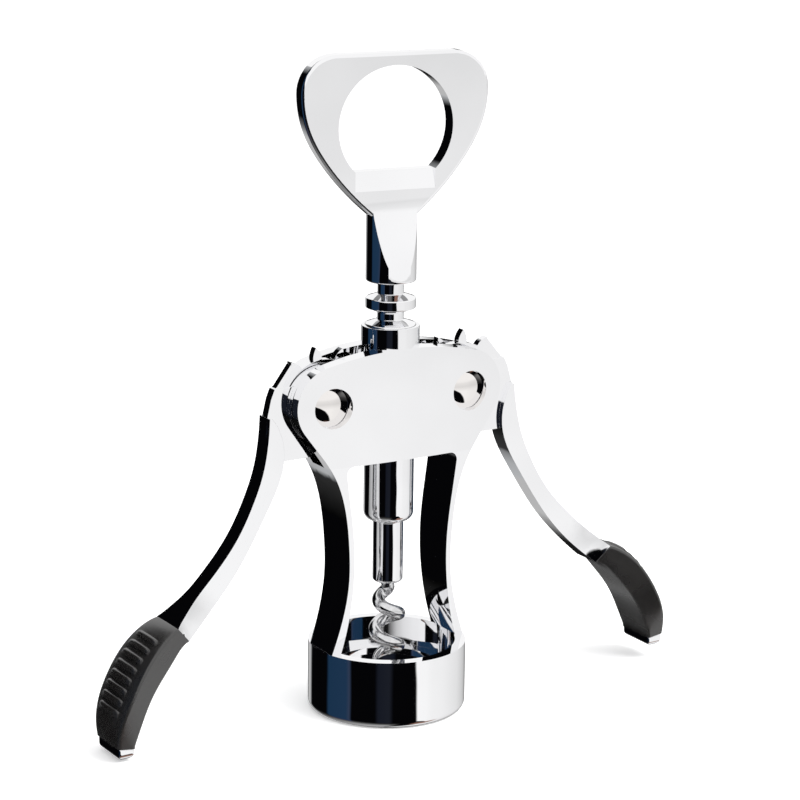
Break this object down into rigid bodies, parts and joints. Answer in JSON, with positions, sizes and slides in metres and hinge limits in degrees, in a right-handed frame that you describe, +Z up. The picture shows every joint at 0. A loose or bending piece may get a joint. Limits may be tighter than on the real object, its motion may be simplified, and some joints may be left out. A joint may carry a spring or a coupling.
{
  "type": "wing corkscrew",
  "caption": "Wing corkscrew: two geared levers lift a rack shaft with a wire worm through a frame that sits over the bottle's lip; the handle is a flat bottle opener",
  "frame": {"origin": "centre of the collar's bottom face, which rests on the bottle", "axes": "+Z up along the worm's axis, the levers swing in the XZ plane, -Y is the front"},
  "size_m": [0.1559, 0.0386, 0.1607],
  "materials": {
    "frame_chrome": "mirror-bright plating on a casting",
    "lever_chrome": "mirror-bright plating on a casting",
    "handle_chrome": "mirror-bright plating on a casting",
    "shaft_chrome": "mirror-bright plating on turned steel",
    "cap_chrome": "mirror-bright plating",
    "pin_steel": "plain turned steel",
    "worm_steel": "smooth bright steel wire",
    "grip_black": "satin black moulded plastic"
  },
  "bodies": {
    "frame": {"frame": "frame_chrome", "pivot_pin_left": "pin_steel", "pivot_pin_right": "pin_steel", "pin_cap_front_left": "cap_chrome", "pin_cap_front_right": "cap_chrome", "pin_cap_back_left": "cap_chrome", "pin_cap_back_right": "cap_chrome"},
    "rack": {"rack_shaft": "shaft_chrome"},
    "spindle": {"opener_handle": "handle_chrome", "spindle": "pin_steel", "worm_ferrule": "shaft_chrome", "worm": "worm_steel"},
    "lever_left": {"lever_left": "lever_chrome", "grip_left": "grip_black", "end_cap_left": "cap_chrome"},
    "lever_right": {"lever_right": "lever_chrome", "grip_right": "grip_black", "end_cap_right": "cap_chrome"}
  },
  "joints": [
    {"name": "shaft_slide", "type": "slide", "parent": "frame", "child": "rack", "axis": [0, 0, -1], "range_m": [0, 0.0235]},
    {"name": "handle_spin", "type": "hinge", "parent": "rack", "child": "spindle", "pos_m": [0, 0, 0.1], "axis": [0, 0, 1], "continuous": true},
    {"name": "lever_left_swing", "type": "hinge", "parent": "frame", "child": "lever_left", "pos_m": [-0.0189, 0, 0.0783], "axis": [0, 1, 0], "range_deg": [0, 112.3]},
    {"name": "lever_right_swing", "type": "hinge", "parent": "frame", "child": "lever_right", "pos_m": [0.0189, 0, 0.0783], "axis": [0, -1, 0], "range_deg": [0, 112.3]}
  ],
  "couplings": [
    {"joint": "lever_left_swing", "follows": "shaft_slide", "rad_per_m": 83.333},
    {"joint": "lever_right_swing", "follows": "shaft_slide", "rad_per_m": 83.333}
  ]
}
